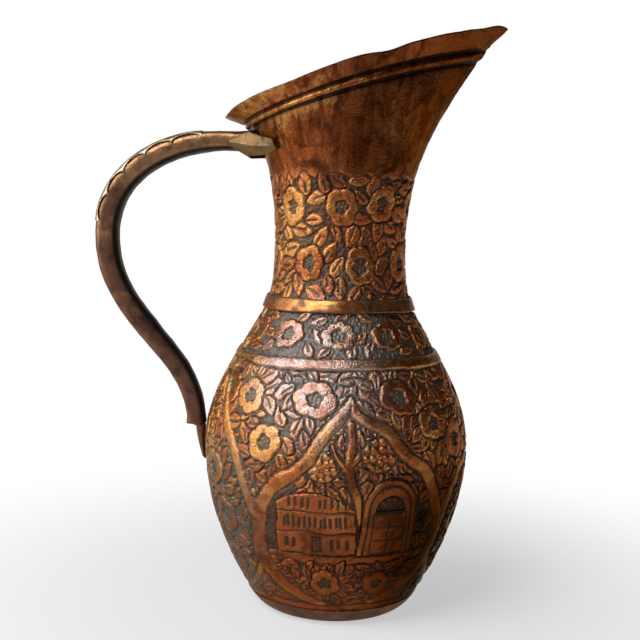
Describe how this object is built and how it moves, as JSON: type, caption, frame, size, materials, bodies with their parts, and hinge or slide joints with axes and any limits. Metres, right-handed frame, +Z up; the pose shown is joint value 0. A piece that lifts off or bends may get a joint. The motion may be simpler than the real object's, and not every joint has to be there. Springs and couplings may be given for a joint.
{
  "type": "copper water jug",
  "caption": "Hand-raised copper water jug with chased flowers and ogee panels, a flared pointed spout, a hollow scalloped handle and a dished base.",
  "frame": {"origin": "centre of the flat base on the jug's axis", "axes": "+Z up along the jug's axis, +X towards the spout, the handle along -X"},
  "size_m": [0.2099, 0.1362, 0.3005],
  "materials": {
    "raised_copper": "aged copper sheet, raised work polished by handling over a dark patinated ground",
    "band_copper": "worn, smooth copper strip with pale edges",
    "handle_copper": "brown copper, darker and purplish towards the lower end",
    "spine_solder": "pale, worn solder and tinned strip",
    "base_copper": "dark brown copper, dull underneath"
  },
  "bodies": {
    "root": {"base_plate": "base_copper", "belly": "raised_copper", "neck": "raised_copper", "neck_collar": "band_copper", "handle_tube": "handle_copper", "handle_spine": "spine_solder", "clasp_leaf_near": "band_copper", "clasp_leaf_far": "band_copper", "handle_tongue": "handle_copper"}
  },
  "joints": []
}
